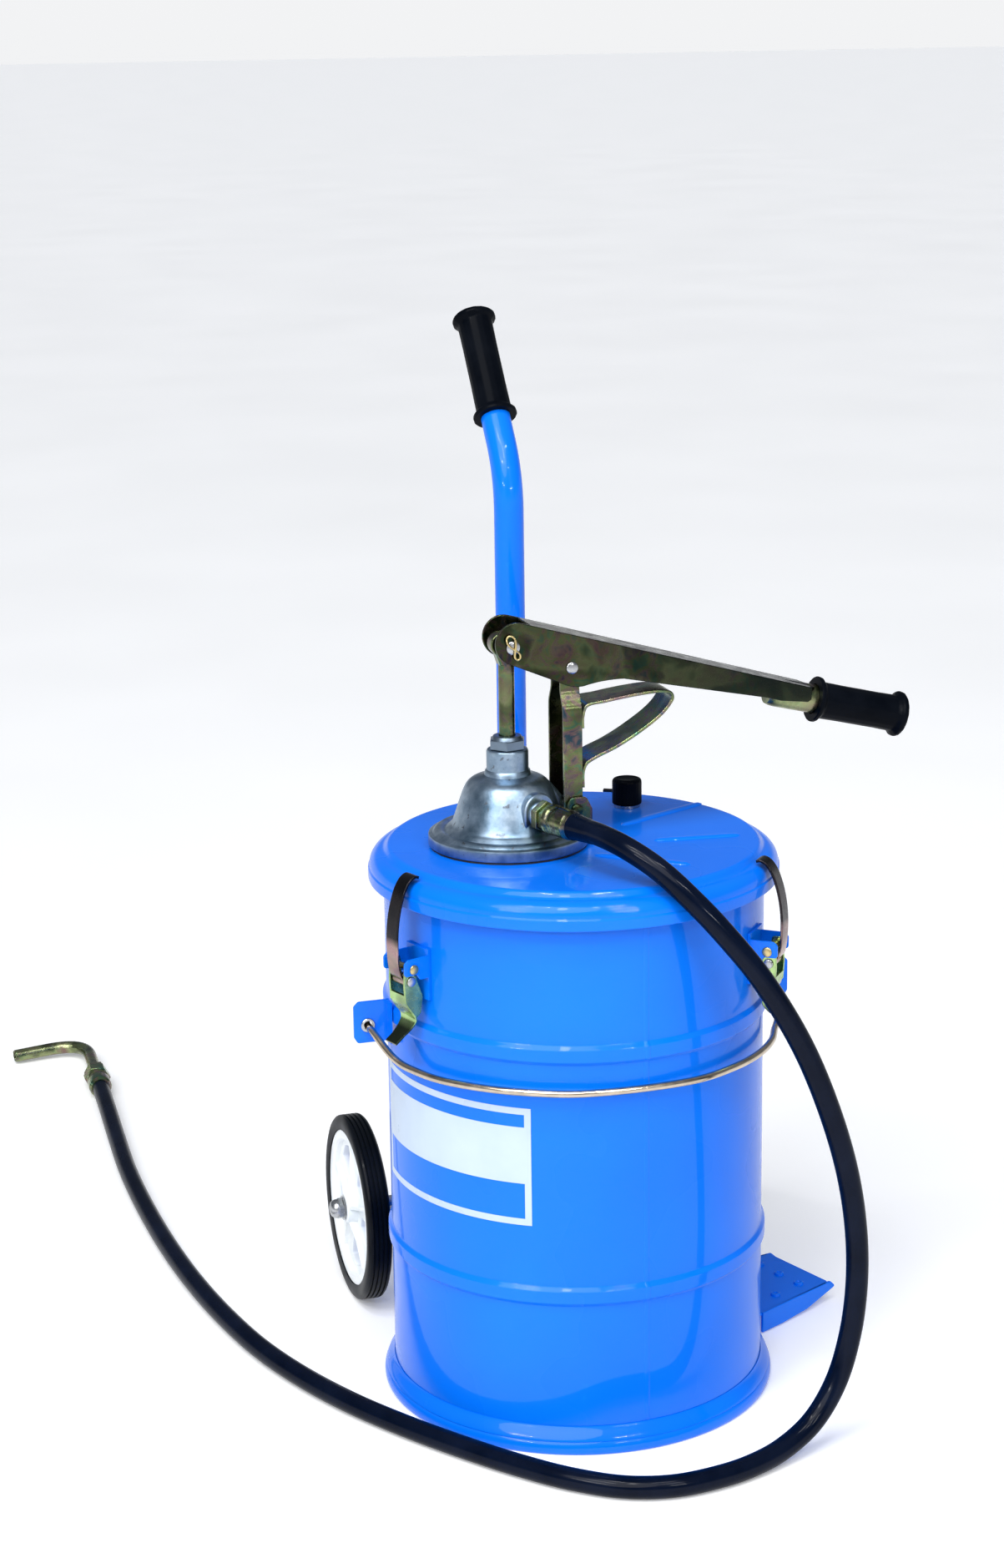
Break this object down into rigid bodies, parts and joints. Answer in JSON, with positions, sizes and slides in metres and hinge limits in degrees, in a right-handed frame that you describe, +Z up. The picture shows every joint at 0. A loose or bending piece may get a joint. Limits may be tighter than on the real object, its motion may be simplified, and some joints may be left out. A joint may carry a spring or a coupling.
{
  "type": "drum barrel pump",
  "caption": "Wheeled steel drum with a hand-lever pump on its lid, a delivery hose and bent spout, push handle, foot pedal and lid latches.",
  "frame": {"origin": "middle of the footprint of everything but the hose and its end fittings, on the floor under the base ring and wheels", "axes": "+Z up; +X towards the pump lever's grip; -Y the side away from the wheels and push handle"},
  "size_m": [0.6552, 1.1754, 0.8741],
  "materials": {
    "blue_paint": "glossy azure blue paint",
    "zinc_steel": "dark yellow zinc passivation on steel",
    "cast_aluminium": "as-cast aluminium",
    "black_rubber": "satin black rubber",
    "tyre_rubber": "ribbed black tyre",
    "hose_rubber": "smooth black hose",
    "white_plastic": "white moulded plastic",
    "plain_steel": "bare steel",
    "gasket_fibre": "dark gasket sheet"
  },
  "bodies": {
    "drum": {"drum_shell": "blue_paint", "base_ring": "blue_paint", "foot_plate": "blue_paint", "axle_bracket_left": "blue_paint", "axle_bracket_right": "blue_paint", "push_handle": "blue_paint", "handle_clamp_upper": "blue_paint", "handle_clamp_lower": "blue_paint", "bail_ear_left": "blue_paint", "bail_ear_right": "blue_paint", "latch_left_bracket": "blue_paint", "latch_right_bracket": "blue_paint", "latch_rear_bracket": "blue_paint", "lid": "blue_paint", "fulcrum_bracket": "zinc_steel", "fulcrum_post": "zinc_steel", "carry_handle": "zinc_steel", "outlet_adapter": "zinc_steel", "outlet_ferrule": "zinc_steel", "nozzle_ferrule": "zinc_steel", "nozzle_nut": "zinc_steel", "nozzle_tube": "zinc_steel", "pump_housing": "cast_aluminium", "gland_nut": "cast_aluminium", "push_handle_grip": "black_rubber", "lid_gasket": "black_rubber", "gland_packing": "black_rubber", "delivery_hose": "hose_rubber", "axle": "plain_steel", "axle_nut_left": "plain_steel", "axle_nut_right": "plain_steel", "filler_neck": "plain_steel", "pump_barrel": "plain_steel", "foot_valve": "plain_steel", "post_foot_pin": "plain_steel", "latch_left_pivot_pin": "plain_steel", "latch_right_pivot_pin": "plain_steel", "latch_rear_pivot_pin": "plain_steel", "flange_gasket": "gasket_fibre"},
    "left_wheel": {"wheel_hub_left": "white_plastic", "tyre_left": "tyre_rubber"},
    "right_wheel": {"wheel_hub_right": "white_plastic", "tyre_right": "tyre_rubber"},
    "bail": {"bail_wire": "zinc_steel"},
    "lever": {"pump_lever": "zinc_steel", "lever_grip": "black_rubber", "rod_pin": "plain_steel", "fulcrum_pin": "plain_steel"},
    "plunger": {"plunger_rod": "zinc_steel", "piston": "black_rubber"},
    "cap": {"filler_cap": "black_rubber"},
    "left_latch_lever": {"latch_left_lever": "zinc_steel", "latch_left_hook_pin": "plain_steel"},
    "left_latch_hook": {"latch_left_hook": "zinc_steel"},
    "right_latch_lever": {"latch_right_lever": "zinc_steel", "latch_right_hook_pin": "plain_steel"},
    "right_latch_hook": {"latch_right_hook": "zinc_steel"},
    "rear_latch_lever": {"latch_rear_lever": "zinc_steel", "latch_rear_hook_pin": "plain_steel"},
    "rear_latch_hook": {"latch_rear_hook": "zinc_steel"}
  },
  "joints": [
    {"name": "lever_hinge", "type": "hinge", "parent": "drum", "child": "lever", "pos_m": [-0.0598, -0.0607, 0.613], "axis": [0, -1, 0], "range_deg": [0, 46]},
    {"name": "plunger_slide", "type": "slide", "parent": "drum", "child": "plunger", "axis": [0, 0, 1], "range_m": [-0.0415, 0]},
    {"name": "left_wheel_spin", "type": "hinge", "parent": "drum", "child": "left_wheel", "pos_m": [-0.1938, 0.1423, 0.083], "axis": [1, 0, 0], "continuous": true},
    {"name": "right_wheel_spin", "type": "hinge", "parent": "drum", "child": "right_wheel", "pos_m": [0.0842, 0.1423, 0.083], "axis": [1, 0, 0], "continuous": true},
    {"name": "bail_hinge", "type": "hinge", "parent": "drum", "child": "bail", "pos_m": [-0.0548, -0.0637, 0.328], "axis": [-1, 0, 0], "range_deg": [0, 10]},
    {"name": "cap_pull", "type": "slide", "parent": "drum", "child": "cap", "axis": [0, 0, 1], "range_m": [0, 0.025]},
    {"name": "left_latch_hinge", "type": "hinge", "parent": "drum", "child": "left_latch_lever", "pos_m": [-0.21549, -0.12219, 0.3945], "axis": [-0.342, 0.9397, 0], "range_deg": [0, 72]},
    {"name": "left_hook_hinge", "type": "hinge", "parent": "left_latch_lever", "child": "left_latch_hook", "pos_m": [-0.21549, -0.12219, 0.3835], "axis": [-0.342, 0.9397, 0], "range_deg": [-83.5, 0]},
    {"name": "right_latch_hinge", "type": "hinge", "parent": "drum", "child": "right_latch_lever", "pos_m": [0.07619, -0.17362, 0.3945], "axis": [-0.6428, -0.766, 0], "range_deg": [0, 72]},
    {"name": "right_hook_hinge", "type": "hinge", "parent": "right_latch_lever", "child": "right_latch_hook", "pos_m": [0.07619, -0.17362, 0.3835], "axis": [-0.6428, -0.766, 0], "range_deg": [-83.5, 0]},
    {"name": "rear_latch_hinge", "type": "hinge", "parent": "drum", "child": "rear_latch_lever", "pos_m": [0.0307, 0.08439, 0.3945], "axis": [0.866, -0.5, 0], "range_deg": [0, 72]},
    {"name": "rear_hook_hinge", "type": "hinge", "parent": "rear_latch_lever", "child": "rear_latch_hook", "pos_m": [0.0307, 0.08439, 0.3835], "axis": [0.866, -0.5, 0], "range_deg": [-83.5, 0]}
  ],
  "couplings": [
    {"joint": "plunger_slide", "follows": "lever_hinge", "m_per_rad": -0.0514},
    {"joint": "left_hook_hinge", "follows": "left_latch_hinge", "ratio": -1.15},
    {"joint": "right_hook_hinge", "follows": "right_latch_hinge", "ratio": -1.15},
    {"joint": "rear_hook_hinge", "follows": "rear_latch_hinge", "ratio": -1.15}
  ]
}
